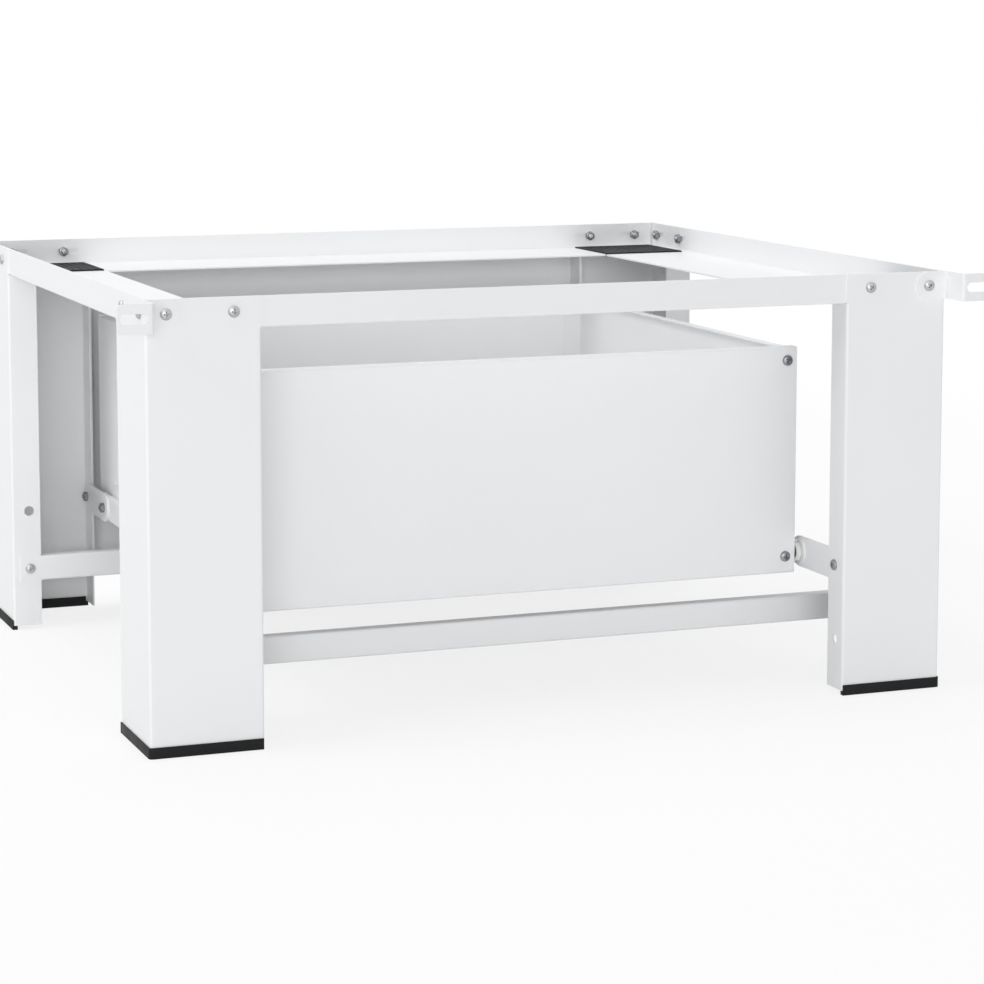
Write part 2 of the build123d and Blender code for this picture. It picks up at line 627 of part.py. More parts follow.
def drawer_side():
    """Right wall: a channel along the drawer, with a tab at each end for the front and the back."""
    outer = DRAWER_HALF_X
    profile = [
        (outer - WALL_TOP_FOLD, WALL_TOP),
        (outer, WALL_TOP),
        (outer, WALL_BOTTOM),
        (outer - WALL_BOTTOM_FOLD, WALL_BOTTOM),
    ]
    shape = along_y(folded(profile, DRAWER_SHEET), WALL_FRONT_Y + WALL_END_GAP, WALL_BACK_Y - WALL_END_GAP)
    tab_x = outer - WALL_TAB
    plan = [(tab_x, WALL_BACK_Y), (outer, WALL_BACK_Y), (outer, WALL_FRONT_Y), (tab_x, WALL_FRONT_Y)]
    shape += upright(folded(plan, DRAWER_SHEET), WALL_BOTTOM + WALL_TAB_GAP, WALL_TOP - WALL_TAB_GAP)
    for face_y in (WALL_FRONT_Y, WALL_BACK_Y):
        for point in drawer_screw_points(face_y):
            shape -= drill(point, (0, 1, 0), BOLT_HOLE, DRAWER_SHEET * CUTTER_SHEETS)
    pin_hole = (outer, DRAWER_ROLLER_Y, DRAWER_ROLLER_HEIGHT)
    shape -= drill(pin_hole, (1, 0, 0), BOLT_HOLE, DRAWER_SHEET * CUTTER_SHEETS)
    for point in runner_rivet_points():
        shape -= drill(point, (1, 0, 0), RIVET_RADIUS + RIVET_CLEARANCE, RUNNER_SHEET * CUTTER_SHEETS)
    for point in bottom_rivet_points():
        shape -= drill(point, (0, 0, 1), RIVET_RADIUS + RIVET_CLEARANCE, DRAWER_SHEET * CUTTER_SHEETS)
    return shape


def drawer_bottom():
    half_x = DRAWER_HALF_X - DRAWER_SHEET - FOLD_RADIUS - BOTTOM_FIT
    low = WALL_BOTTOM + DRAWER_SHEET
    shape = block(
        (-half_x, WALL_FRONT_Y + BOTTOM_FIT, low),
        (half_x, WALL_BACK_Y - BOTTOM_FIT, low + DRAWER_SHEET),
    )
    for x, y, z in bottom_rivet_points():
        for side in SIDES.values():
            shape -= drill((side * x, y, z), (0, 0, 1), RIVET_RADIUS + RIVET_CLEARANCE)
    return shape


# Frame pieces

for corner, (side_x, side_y) in CORNERS.items():
    parts[f"leg_{corner}"] = to_corner(leg(END_BOLT_INSETS[side_y]), side_x, side_y)
    parts[f"foot_cap_{corner}"] = to_corner(foot_cap(), side_x, side_y)
    parts[f"anti_slip_pad_{corner}"] = to_corner(anti_slip_pad(), side_x, side_y)
    parts[f"runner_link_{corner}"] = to_corner(runner_link(), side_x, side_y)

for place, side_y in (("front", -1), ("rear", 1)):
    parts[f"top_rail_{place}"] = to_corner(end_rail(END_BOLT_INSETS[side_y]), 1, side_y)
parts["top_rail_right"] = right_rail()
parts["top_rail_left"] = to_corner(right_rail(), -1, 1)
parts["rear_panel"] = rear_panel()

for place, seat_y in BAR_SEATS.items():
    parts[f"lower_bar_{place}"] = lower_bar(seat_y)

# Left and right pieces

for place, side in SIDES.items():
    parts[f"strap_bracket_{place}"] = to_corner(strap_bracket(), side, -1)
    parts[f"cabinet_runner_{place}"] = to_corner(cabinet_runner(), side, 1)
    parts[f"cabinet_roller_{place}"] = to_corner(CABINET_ROLLER_PLANE * roller(), side, 1)
    parts[f"drawer_side_{place}"] = to_corner(drawer_side(), side, 1)
    parts[f"drawer_runner_{place}"] = to_corner(drawer_runner(), side, 1)
    parts[f"drawer_roller_{place}"] = to_corner(DRAWER_ROLLER_PLANE * roller(), side, 1)

# Drawer pieces

parts["drawer_front"] = drawer_end(DRAWER_FRONT_Y, 1)
parts["drawer_back"] = drawer_end(DRAWER_BACK_Y, -1)
parts["drawer_bottom"] = drawer_bottom()


# Fasteners, in groups

def mirrored(point, direction, side_x, side_y):
    """Point and direction of the rear right corner, moved to another corner."""
    signs = (side_x, side_y, 1)
    return tuple(p * s for p, s in zip(point, signs)), tuple(d * s for d, s in zip(direction, signs))


groups = {}


def fasten(name, nut_name, point, outward, grip):
    """Add a bolt whose head seats at the point, and the nut that closes its grip."""
    seat = moved_along(point, outward, -grip)
    groups.setdefault(name, []).append(bolt(point, outward, grip, NUT_HEIGHT + BOLT_TIP))
    groups.setdefault(nut_name, []).append(nut(seat, opposite(outward)))


for corner, (side_x, side_y) in CORNERS.items():
    for point, outward in rail_bolt_points(END_BOLT_INSETS[side_y]):
        point, outward = mirrored(point, outward, side_x, side_y)
        grip = 2 * FRAME_SHEET
        holds_bracket = side_y < 0 and abs(point[0]) == BRACKET_BOLT_X and outward[1] != 0
        if holds_bracket:
            point = moved_along(point, outward, PLATE_SHEET)
            fasten("strap_bracket_bolts", "top_rail_nuts", point, outward, grip + PLATE_SHEET)
        else:
            fasten("top_rail_bolts", "top_rail_nuts", point, outward, grip)

    behind_panel = PANEL_SHEET if side_y > 0 else 0
    link_point = (LEG_INNER_X - behind_panel, LINK_LEG_Y, RUNNER_CENTRE_HEIGHT)
    point, outward = mirrored(link_point, (-1, 0, 0), side_x, side_y)
    fasten("runner_link_bolts", "runner_nuts", point, outward, behind_panel + FRAME_SHEET + PLATE_SHEET)

for side in SIDES.values():
    for seat_y in BAR_SEATS.values():
        bar_point = (side * (HALF_X - BAR_BOLT_INSET), seat_y - FRAME_SHEET, BAR_CENTRE_HEIGHT)
        fasten("lower_bar_bolts", "lower_bar_nuts", bar_point, (0, -1, 0), 2 * FRAME_SHEET)

    end_point = (RUNNER_INNER_X, LINK_RUNNER_Y, RUNNER_CENTRE_HEIGHT)
    point, outward = mirrored(end_point, (-1, 0, 0), side, 1)
    fasten("runner_end_bolts", "runner_nuts", point, outward, RUNNER_SHEET + PLATE_SHEET)
    axle_nut = (LINK_X + PLATE_SHEET, CABINET_ROLLER_Y, RUNNER_CENTRE_HEIGHT)
    groups["runner_nuts"].append(nut(*mirrored(axle_nut, (1, 0, 0), side, 1)))

    panel_point = (LEG_INNER_X - PANEL_SHEET, HALF_Y - PANEL_BOLT_INSET, PANEL_BOLT_HEIGHT)
    point, outward = mirrored(panel_point, (-1, 0, 0), side, 1)
    fasten("rear_panel_bolts", "rear_panel_nuts", point, outward, PANEL_SHEET + FRAME_SHEET)

    groups.setdefault("cabinet_roller_axles", []).append(to_corner(cabinet_axle(), side, 1))
    groups.setdefault("drawer_roller_pins", []).append(to_corner(drawer_pin(), side, 1))
    for point in runner_rivet_points():
        runner_rivet = rivet(point, (1, 0, 0), RUNNER_SHEET + DRAWER_SHEET)
        groups.setdefault("drawer_runner_rivets", []).append(to_corner(runner_rivet, side, 1))
    for point in bottom_rivet_points():
        bottom_rivet = rivet(point, (0, 0, 1), 2 * DRAWER_SHEET)
        groups.setdefault("drawer_bottom_rivets", []).append(to_corner(bottom_rivet, side, 1))

for name, face_y, outward in (("front", DRAWER_FRONT_Y, (0, -1, 0)), ("back", DRAWER_BACK_Y, (0, 1, 0))):
    for point in drawer_screw_points(face_y):
        fasten(f"drawer_{name}_screws", f"drawer_{name}_nuts", point, outward, 2 * DRAWER_SHEET)

for name, solids in groups.items():
    parts[name] = Compound([piece.solid() for piece in solids])

# Files

os.makedirs("parts", exist_ok=True)
for name, shape in parts.items():
    export_step(Pos(0, ORIGIN_SHIFT, 0) * shape, f"parts/{name}.step")
print(len(parts), "nodes")
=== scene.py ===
import json
import math

import bmesh
import bpy
from mathutils import Euler, Matrix, Vector


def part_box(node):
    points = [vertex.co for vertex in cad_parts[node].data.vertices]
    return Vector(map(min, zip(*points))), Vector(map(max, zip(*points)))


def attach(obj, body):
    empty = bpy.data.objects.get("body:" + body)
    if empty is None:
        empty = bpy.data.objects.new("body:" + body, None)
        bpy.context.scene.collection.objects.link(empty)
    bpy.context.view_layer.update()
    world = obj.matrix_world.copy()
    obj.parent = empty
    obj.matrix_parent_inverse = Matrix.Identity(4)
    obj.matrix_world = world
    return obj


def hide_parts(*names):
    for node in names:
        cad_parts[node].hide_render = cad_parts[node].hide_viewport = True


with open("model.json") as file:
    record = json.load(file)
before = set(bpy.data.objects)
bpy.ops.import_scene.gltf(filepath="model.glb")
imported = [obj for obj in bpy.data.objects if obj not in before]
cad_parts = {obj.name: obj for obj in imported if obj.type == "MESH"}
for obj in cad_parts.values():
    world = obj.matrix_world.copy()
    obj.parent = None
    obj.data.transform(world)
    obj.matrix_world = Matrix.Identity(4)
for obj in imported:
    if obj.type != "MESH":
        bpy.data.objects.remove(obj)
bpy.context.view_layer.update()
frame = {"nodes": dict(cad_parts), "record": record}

# Laundry pedestal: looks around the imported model. Metres, +X right, +Y back, +Z up.

MM = 0.001

# Camera, fitted to the photograph's viewing angle; turn and tilt in degrees
IMAGE_PIXELS = 984
SENSOR_WIDTH = 36.0
FOCAL_PIXELS = 2931.3
AXIS_PIXEL = (477.4, 354.2)
CAMERA_PLACE = (-0.7758, -2.1221, 0.5013)
CAMERA_TURN = 20.76
CAMERA_TILT = 6.75

# Floor, sky and lamps
FLOOR_SIZE = 80.0
FLOOR_COLOUR = (0.95, 0.95, 0.95)
FLOOR_ROUGHNESS = 0.9
FLOOR_WHITENING = 0.8
WHITENING_START = 0.4
WHITENING_END = 1.8
SKY_COLOUR = (0.97, 0.985, 1.0)
SKY_STRENGTH = 0.4
WHITE = (1.0, 1.0, 1.0)
LAMP_TARGET = (0.0, 0.0, 0.2)

# Paint, rubber, metal and plastic colours, linear
WHITE_PAINT = (0.924, 0.929, 0.935)
# Drawer paint is lighter than the frame's white as painted light: it brightens the drawer front where the
# frame shades it, and the real drawer is the same white as the frame
DRAWER_PAINT_WITH_PAINTED_LIGHT = (0.948, 0.953, 0.96)
RUNNER_PAINT = (0.91, 0.916, 0.923)
BLACK_RUBBER = (0.006, 0.0064, 0.0066)
ZINC = (0.58, 0.588, 0.604)
DULL_ZINC = (0.37, 0.38, 0.4)
NYLON = (0.86, 0.86, 0.84)

# Part of a noise, and of a finer pattern on top of it, that is stretched over a range
NOISE_LOW = 0.3
NOISE_HIGH = 0.7
PATTERN_LOW = 0.2
PATTERN_HIGH = 0.8

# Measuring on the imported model: the reach of a weld, and shares of a radius that bound shank and heads
WELD = 0.001 * MM
SHANK_SHARE = 0.6
HEAD_SHARE = 0.9

# Bolts and screws; recess, head edge and thread depth are shares of a size, and the turn is in radians
RECESS_REACH = 0.52
RECESS_HALF_WIDTH = 0.11
RECESS_DEPTH = 0.45
RECESS_TAPER = 0.45
RECESS_STEPS = 3
SMALLEST_SINE = 1e-6
HEAD_EDGE = 0.34
HEAD_CURVE = 2.6
HEAD_ROWS = (0.35, 0.65, 0.85, 0.95, 1.0)
SEAT_CHAMFER = 0.12 * MM
THREAD_PITCH = 0.7 * MM
THREAD_DEPTH = 0.13
THREAD_ROWS_PER_PITCH = 6
THREAD_LENGTH = 1.4 * MM
TIP_CHAMFER = 0.3 * MM
TURN_STEP = 2.4

# Nuts; the face is a share of the flats' radius, and the angle is in degrees
NUT_SIDES = 6
NUT_HALF_SIDE = math.pi / NUT_SIDES
NUT_COLUMNS_PER_SIDE = 4
NUT_CHAMFER_ANGLE = 30.0
NUT_FACE = 0.97
NUT_BORE_FIT = 0.06 * MM
NUT_BORE_CHAMFER = 0.35 * MM

# Rivets and pins; shares of a head's radius and of its height over the seat
RIVET_COLUMNS = 32
RIVET_DIMPLE = ((0.16, 0.55), (0.24, 0.95))
RIVET_DOME = ((0.45, 1.0), (0.75, 0.88), (0.93, 0.62), (1.0, 0.3))
RIVET_SEAT = 0.98
RIVET_TAIL = ((1.0, 0.3), (0.92, 0.7), (0.6, 1.0))

# Rollers
ROLLER_COLUMNS = 64
ROLLER_RIM_ROUND = 0.5 * MM
ROLLER_RECESS_RADIUS = 5.0 * MM
ROLLER_RECESS_DEPTH = 1.1 * MM
ROLLER_RECESS_CHAMFER = 0.12 * MM
ROLLER_BORE_RADIUS = 2.05 * MM
ROLLER_ARC_STEPS = 5

# Soft edges of the rubber; edges under the flat angle are taken out, those over the sharp angle stand out
CAP_ROUND = 0.35 * MM
PAD_ROUND = 0.12 * MM
ROUND_STEPS = 2
ROUND_PROFILE = 0.5
FLAT_ANGLE = math.radians(0.5)
SHARP_ANGLE = math.radians(32)


# Material helpers

def feed(tree, socket, value):
    """Give a socket a value or a link."""
    if isinstance(value, bpy.types.NodeSocket):
        tree.links.new(value, socket)
    else:
        socket.default_value = value


def set_inputs(tree, node, **inputs):
    """Feed a node's inputs by name; an underscore stands for a space."""
    for name, value in inputs.items():
        feed(tree, node.inputs[name.replace("_", " ")], value)


def add_node(tree, kind, settings=None, **inputs):
    """Node of a kind, with its settings and the values or links of its inputs."""
    node = tree.nodes.new(kind)
    for name, value in (settings or {}).items():
        setattr(node, name, value)
    set_inputs(tree, node, **inputs)
    return node


def new_material(name):
    """Material with a principled shader, and the tree and the shader to work on."""
    material = bpy.data.materials.new(name)
    material.use_nodes = True
    tree = material.node_tree
    tree.nodes.clear()
    shader = add_node(tree, "ShaderNodeBsdfPrincipled")
    add_node(tree, "ShaderNodeOutputMaterial", Surface=shader.outputs["BSDF"])
    return material, tree, shader


def object_place(tree):
    """Place of a point in its object."""
    return add_node(tree, "ShaderNodeTexCoord").outputs["Object"]


def noise(tree, place, scale, detail=2.0):
    """Value of a noise texture whose features are about 1 / scale metres."""
    return add_node(tree, "ShaderNodeTexNoise", Vector=place, Scale=scale, Detail=detail).outputs["Fac"]


def maths(tree, operation, *values):
    """Result of a maths node; each value is a number or a link."""
    node = add_node(tree, "ShaderNodeMath", {"operation": operation})
    for socket, value in zip(node.inputs, values):
        feed(tree, socket, value)
    return node.outputs["Value"]


def ranged(tree, value, low, high, start=NOISE_LOW, end=NOISE_HIGH):
    """Value mapped to a range, by default from the middle of a noise."""
    node = add_node(tree, "ShaderNodeMapRange", Value=value, From_Min=start, From_Max=end,
                    To_Min=low, To_Max=high)
    return node.outputs["Result"]


def spread(tree, value, middle, below, above):
    """Noise mapped to a range around a middle."""
    return ranged(tree, value, middle - below, middle + above)


def blended(tree, fine, share, coarse):
    """Coarse noise with a share of a finer pattern on top, between 0 and 1."""
    total = maths(tree, "MULTIPLY_ADD", fine, share, coarse)
    start = NOISE_LOW + PATTERN_LOW * share
    end = NOISE_HIGH + PATTERN_HIGH * share
    return ranged(tree, total, 0.0, 1.0, start, end)


def tinted(tree, value, colour, start, end):
    """Colour that goes from a start share of itself to an end share."""
    node = add_node(tree, "ShaderNodeMix", {"data_type": "RGBA"}, Factor=value)
    ends = [socket for socket in node.inputs if socket.type == "RGBA"]
    for socket, share in zip(ends, (start, end)):
        socket.default_value = (*(channel * share for channel in colour), 1.0)
    return next(socket for socket in node.outputs if socket.type == "RGBA")


def bumped(tree, height, depth, strength, **below):
    """Normal of a bump, on top of another one if its Normal is given."""
    node = add_node(tree, "ShaderNodeBump", Height=height, Distance=depth, Strength=strength, **below)
    return node.outputs["Normal"]


def mixed(tree, share, first, second):
    """Shader that goes from a first to a second one with a share."""
    node = add_node(tree, "ShaderNodeMixShader")
    for socket, value in zip(node.inputs, (share, first, second)):
        feed(tree, socket, value)
    return node.outputs["Shader"]


# Materials

def powder_coat(name, colour, roughness, peel_scale):
    """Powder coat: a faint orange peel, a finer grain, and a slow drift of tone and gloss."""
    material, tree, shader = new_material(name)
    place = object_place(tree)
    drift = noise(tree, place, scale=7.0)
    peel = noise(tree, place, scale=peel_scale, detail=1.0)
    grain = noise(tree, place, scale=5.0 * peel_scale)
    tone = blended(tree, grain, share=0.8, coarse=drift)
    peel_normal = bumped(tree, peel, depth=0.04 * MM, strength=0.35)
    set_inputs(
        tree, shader,
        Base_Color=tinted(tree, tone, colour, start=0.972, end=1.0),
        Roughness=spread(tree, drift, roughness, below=0.04, above=0.04),
        Normal=bumped(tree, grain, depth=0.01 * MM, strength=0.25, Normal=peel_normal),
        IOR=1.5,
        Coat_Weight=0.08,
        Coat_Roughness=0.25,
    )
    return material


def rubber(name, colour, roughness):
    """Moulded rubber: a pebbled skin with a paler bloom in patches."""
    material, tree, shader = new_material(name)
    place = object_place(tree)
    pebble = add_node(tree, "ShaderNodeTexVoronoi", Vector=place, Scale=1100.0).outputs["Distance"]
    bloom = noise(tree, place, scale=60.0, detail=4.0)
    set_inputs(
        tree, shader,
        Base_Color=tinted(tree, bloom, colour, start=1.0, end=2.0),
        Roughness=spread(tree, bloom, roughness, below=0.08, above=0.08),
        Normal=bumped(tree, pebble, depth=0.08 * MM, strength=0.5),
        Specular_IOR_Level=0.2,
    )
    return material


def zinc_plate(name, colour, roughness):
    """Zinc plate: a cloudy tone, fine scuffs, and the rings that turning left around each axis."""
    material, tree, shader = new_material(name)
    place = object_place(tree)
    turned = add_node(tree, "ShaderNodeAttribute", {"attribute_name": "turned"}).outputs["Vector"]
    cloud = noise(tree, place, scale=420.0, detail=3.0)
    scuff = noise(tree, place, scale=2600.0)
    rings = add_node(tree, "ShaderNodeTexWave", {"wave_type": "RINGS", "rings_direction": "Z"},
                     Vector=turned, Scale=900.0, Distortion=1.5, Detail=2.0).outputs["Fac"]
    tone = blended(tree, rings, share=0.3, coarse=cloud)
    ring_normal = bumped(tree, rings, depth=0.02 * MM, strength=0.4)
    set_inputs(
        tree, shader,
        Base_Color=tinted(tree, tone, colour, start=0.7, end=1.0),
        Roughness=spread(tree, cloud, roughness, below=0.06, above=0.08),
        Normal=bumped(tree, scuff, depth=0.02 * MM, strength=0.4, Normal=ring_normal),
        Metallic=1.0,
    )
    return material


def nylon_mould(name, colour, roughness):
    """Moulded nylon: milky, with a fine spark-eroded skin."""
    material, tree, shader = new_material(name)
    place = object_place(tree)
    cloud = noise(tree, place, scale=180.0, detail=3.0)
    grain = noise(tree, place, scale=3200.0, detail=1.0)
    set_inputs(
        tree, shader,
        Base_Color=tinted(tree, cloud, colour, start=0.96, end=1.0),
        Roughness=spread(tree, cloud, roughness, below=0.05, above=0.05),
        Normal=bumped(tree, grain, depth=0.015 * MM, strength=0.4),
        Subsurface_Weight=0.15,
        Subsurface_Scale=1.5 * MM,
    )
    return material


MATERIALS = {
    "white_steel": powder_coat("white_powder_coat", WHITE_PAINT, roughness=0.42, peel_scale=850.0),
    # Drawer coat: its colour is a lighter copy of the white coat, painted light for the shade the frame
    # casts on the drawer; its gloss and peel differ as well
    "drawer_steel_painted_light": powder_coat("drawer_powder_coat_painted_light", DRAWER_PAINT_WITH_PAINTED_LIGHT, roughness=0.4, peel_scale=950.0),
    "white_runner": powder_coat("runner_epoxy", RUNNER_PAINT, roughness=0.3, peel_scale=600.0),
    "black_rubber": rubber("black_rubber", BLACK_RUBBER, roughness=0.6),
    "zinc_steel": zinc_plate("bright_zinc", ZINC, roughness=0.42),
    "dull_zinc": zinc_plate("dull_zinc", DULL_ZINC, roughness=0.42),
    "nylon": nylon_mould("white_nylon", NYLON, roughness=0.43),
}

SLOT_OF = {row["node"]: row["material_slot"] for row in frame["record"]["subparts"]}
BODY_OF = {node: body for body, nodes in frame["record"]["behaviour"]["bodies"].items() for node in nodes}
BRIGHT_GROUPS = ("top_rail_bolts", "strap_bracket_bolts", "lower_bar_bolts")


def finish_of(node):
    """Name of the material that a node takes."""
    slot = SLOT_OF[node]
    # Drawer sheet takes the lighter drawer paint, which is painted light on the shaded drawer
    if node.startswith("drawer_") and slot == "white_steel":
        return "drawer_steel_painted_light"
    if slot == "zinc_steel" and node not in BRIGHT_GROUPS:
        return "dull_zinc"
    return slot


def dress(obj, material):
    """Give an object one material."""
    obj.data.materials.clear()
    obj.data.materials.append(material)


for name, obj in frame["nodes"].items():
    dress(obj, MATERIALS[finish_of(name)])


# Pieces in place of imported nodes

def stand_in(node, work):
    """Show a work mesh in place of a node, with smooth faces and creased sharp edges."""
    bmesh.ops.recalc_face_normals(work, faces=work.faces)
    for face in work.faces:
        face.smooth = True
    for edge in work.edges:
        edge.smooth = edge.calc_face_angle(0.0) < SHARP_ANGLE
    mesh = bpy.data.meshes.new(f"{node}_detail")
    work.to_mesh(mesh)
    work.free()
    obj = bpy.data.objects.new(f"{node}_detail", mesh)
    bpy.context.scene.collection.objects.link(obj)
    dress(obj, MATERIALS[finish_of(node)])
    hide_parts(node)
    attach(obj, BODY_OF[node])


def welded(node):
    """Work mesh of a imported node, with its split seams joined."""
    work = bmesh.new()
    work.from_mesh(frame["nodes"][node].data)
    bmesh.ops.remove_doubles(work, verts=work.verts, dist=WELD)
    return work


def separate_solids(node):
    """Point lists of the separate solids of a group."""
    work = welded(node)
    reached = set()
    solids = []
    for start in work.verts:
        if start in reached:
            continue
        reached.add(start)
        waiting = [start]
        points = []
        while waiting:
            vertex = waiting.pop()
            points.append(vertex.co.copy())
            for edge in vertex.link_edges:
                other = edge.other_vert(vertex)
                if other not in reached:
                    reached.add(other)
                    waiting.append(other)
        solids.append(points)
    work.free()
    return solids


def skin(rings, looped=False):
    """Points and faces of a skin through rings with the same number of points."""
    count = len(rings[0])
    points = [point for ring_points in rings for point in ring_points]
    starts = [index * count for index in range(len(rings))]
    pairs = list(zip(starts, starts[1:]))
    if looped:
        pairs.append((starts[-1], starts[0]))
    faces = []
    for first, second in pairs:
        for index in range(count):
            after = (index + 1) % count
            faces.append((first + index, first + after, second + after, second + index))
    if not looped:
        faces.append(tuple(range(count)))
        faces.append(tuple(range(starts[-1], len(points))))
    return points, faces


def even_angles(count):
    """Angles all the way round, in equal steps."""
    return [2 * math.pi * index / count for index in range(count)]


def ring(angles, radius, height):
    """Ring around Z; radius and height may be values or functions of the angle."""
    points = []
    for angle in angles:
        r = radius(angle) if callable(radius) else radius
        z = height(angle) if callable(height) else height
        points.append(Vector((r * math.cos(angle), r * math.sin(angle), z)))
    return points


# Measured fasteners

def lone_axis(points):
    """Axis of a turned piece or a nut: across it the two sizes are the closest to each other."""
    sizes = [max(p[i] for p in points) - min(p[i] for p in points) for i in range(3)]
    gaps = [abs(sizes[(i + 1) % 3] - sizes[(i + 2) % 3]) for i in range(3)]
    return gaps.index(min(gaps))


class Fastener:
    """A fastener's axis, place and sizes, measured on its points."""

    def __init__(self, points):
        self.axis = lone_axis(points)
        low = Vector([min(p[i] for p in points) for i in range(3)])
        high = Vector([max(p[i] for p in points) for i in range(3)])
        self.middle = (low + high) / 2
        self.low = low[self.axis]
        self.high = high[self.axis]
        across = [p - self.middle for p in points]
        for offset in across:
            offset[self.axis] = 0.0
        radii = [offset.length for offset in across]
        self.radius = max(radii)
        self.corner = across[radii.index(self.radius)]
        self.shank = max(r for r in radii if r < SHANK_SHARE * self.radius)
        self.head_heights = [p[self.axis] for p, r in zip(points, radii) if r > HEAD_SHARE * self.radius]

    def placed(self, height, outward):
        """Matrix from Z along the axis to the model, with its origin at a height on the axis."""
        origin = self.middle.copy()
        origin[self.axis] = height
        direction = Vector((0.0, 0.0, 0.0))
        direction[self.axis] = outward
        return Matrix.LocRotScale(origin, direction.to_track_quat("Z", "Y"), None)


# Bolts and screws

def recess_edge(angle, reach, half_width):
    """Distance from the middle of a cross recess to its edge."""
    from_arm = abs((angle + math.pi / 4) % (math.pi / 2) - math.pi / 4)
    end = reach / math.cos(from_arm)
    side = half_width / max(math.sin(from_arm), SMALLEST_SINE)
    return min(end, side)


def recess_angles():
    """Angles that meet every corner of a cross recess, with steps between them for a round head."""
    corner = math.atan2(RECESS_HALF_WIDTH, RECESS_REACH)
    step = (math.pi / 4 - corner) / RECESS_STEPS
    half = [corner / 2] + [corner + index * step for index in range(RECESS_STEPS)]
    offsets = [-angle for angle in reversed(half)] + [0.0] + half + [math.pi / 4]
    return [arm * math.pi / 2 + offset for arm in range(4) for offset in offsets]


def bolt_rings(radius, head, shank, reach):
    """Rings of a pan-head bolt, seat at Z = 0, from the floor of its recess to its tip."""
    angles = recess_angles()
    edge_height = HEAD_EDGE * head

    def dome(r):
        return edge_height + (head - edge_height) * math.sqrt(1 - min(r / radius, 1.0) ** HEAD_CURVE)

    def rim(angle):
        return recess_edge(angle, RECESS_REACH * radius, RECESS_HALF_WIDTH * radius)

    rings = [
        ring(angles, lambda angle: RECESS_TAPER * rim(angle), head * (1 - RECESS_DEPTH)),
        ring(angles, rim, lambda angle: dome(rim(angle))),
    ]
    for share in HEAD_ROWS:
        def place(angle, share=share):
            return rim(angle) + share * (radius - rim(angle))

        rings.append(ring(angles, place, lambda angle, place=place: dome(place(angle))))
    rings.append(ring(angles, radius, SEAT_CHAMFER))
    rings.append(ring(angles, radius - SEAT_CHAMFER, 0.0))
    rings.append(ring(angles, shank, 0.0))
    start = -reach + THREAD_LENGTH
    rows = round(THREAD_LENGTH / THREAD_PITCH * THREAD_ROWS_PER_PITCH)
    for row in range(rows + 1):
        height = start - (THREAD_LENGTH - TIP_CHAMFER) * row / rows

        def threaded(angle, height=height):
            phase = (height / THREAD_PITCH - angle / (2 * math.pi)) % 1.0
            return shank * (1 - THREAD_DEPTH * (1 - abs(2 * phase - 1)))

        rings.append(ring(angles, threaded, height))
    rings.append(ring(angles, shank * (1 - 2 * THREAD_DEPTH), -reach))
    return rings


def bolt(fastener):
    """Skin of a bolt and the matrix that seats it."""
    head_low = min(fastener.head_heights)
    head_high = max(fastener.head_heights)
    head_up = fastener.high - head_high < head_low - fastener.low
    seat = head_low if head_up else head_high
    end = fastener.high if head_up else fastener.low
    tip = fastener.low if head_up else fastener.high
    outward = 1.0 if head_up else -1.0
    rings = bolt_rings(fastener.radius, abs(end - seat), fastener.shank, abs(seat - tip))
    return skin(rings), fastener.placed(seat, outward)


# Nuts

def nut(fastener):
    """Skin of a chamfered hexagon nut and its matrix; its corners stay where they were."""
    flat = fastener.radius * math.cos(NUT_HALF_SIDE)
    face = NUT_FACE * flat
    height = fastener.high - fastener.low
    slope = math.tan(math.radians(NUT_CHAMFER_ANGLE))
    bore = fastener.shank + NUT_BORE_FIT
    mouth = bore + NUT_BORE_CHAMFER
    angles = even_angles(NUT_SIDES * NUT_COLUMNS_PER_SIDE)

    def side(angle):
        from_flat = angle % (2 * NUT_HALF_SIDE) - NUT_HALF_SIDE
        return flat / math.cos(from_flat)

    def drop(angle):
        return (side(angle) - face) * slope

    rings = [
        ring(angles, bore, NUT_BORE_CHAMFER),
        ring(angles, mouth, 0.0),
        ring(angles, face, 0.0),
        ring(angles, side, drop),
        ring(angles, side, lambda angle: height - drop(angle)),
        ring(angles, face, height),
        ring(angles, mouth, height),
        ring(angles, bore, height - NUT_BORE_CHAMFER),
    ]
    matrix = fastener.placed(fastener.low, 1.0)
    corner = matrix.to_quaternion().inverted() @ fastener.corner
    return skin(rings, looped=True), matrix @ Matrix.Rotation(math.atan2(corner.y, corner.x), 4, "Z")


# Rivets and pins

def rivet(fastener):
    """Skin of a domed rivet with a dimple in its upper head, and its matrix."""
    radius = fastener.radius
    shank = fastener.shank
    middle = fastener.middle[fastener.axis]
    upper_seat = min(height for height in fastener.head_heights if height > middle)
    lower_seat = max(height for height in fastener.head_heights if height < middle)
    upper = fastener.high - upper_seat
    lower = lower_seat - fastener.low
    grip = upper_seat - lower_seat
    profile = [(r * radius, z * upper) for r, z in RIVET_DIMPLE + RIVET_DOME]
    profile += [(RIVET_SEAT * radius, 0.0), (shank, 0.0), (shank, -grip), (RIVET_SEAT * radius, -grip)]
    profile += [(r * radius, -grip - z * lower) for r, z in RIVET_TAIL]
    angles = even_angles(RIVET_COLUMNS)
    rings = [ring(angles, r, z) for r, z in profile]
    return skin(rings), fastener.placed(upper_seat, 1.0)


MAKERS = {"bolts": bolt, "screws": bolt, "axles": bolt, "nuts": nut, "rivets": rivet, "pins": rivet}


